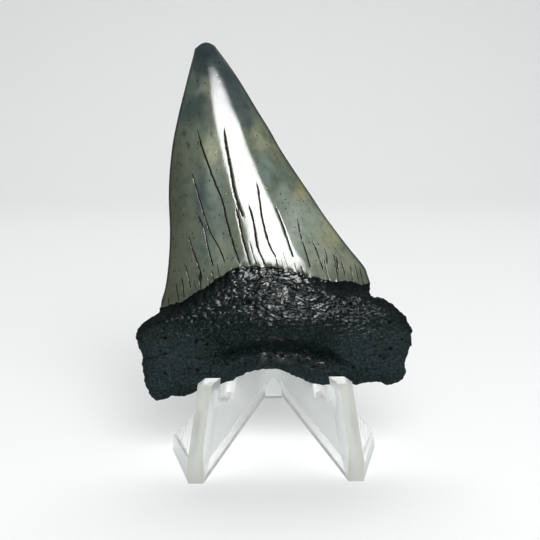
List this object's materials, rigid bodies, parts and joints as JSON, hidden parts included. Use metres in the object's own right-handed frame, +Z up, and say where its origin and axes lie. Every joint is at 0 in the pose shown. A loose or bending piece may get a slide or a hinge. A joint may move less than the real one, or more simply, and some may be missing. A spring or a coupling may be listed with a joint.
{
  "type": "shark tooth on display stand",
  "caption": "Large fossil shark tooth with a glossy leaning crown and a rough dark root, resting on a small clear plastic display stand.",
  "frame": {"origin": "on the plane that the stand's feet rest on, below the middle of the whole object's box", "axes": "+Z up along the tooth, -Y towards the viewer, +X to the viewer's right"},
  "size_m": [0.0582, 0.0292, 0.0902],
  "materials": {
    "tooth": "polished mottled olive-grey enamel over a rough, nearly black root",
    "clear_plastic": "clear, moulded, with satin post faces"
  },
  "bodies": {
    "root": {"tooth": "tooth", "stand": "clear_plastic"}
  },
  "joints": []
}
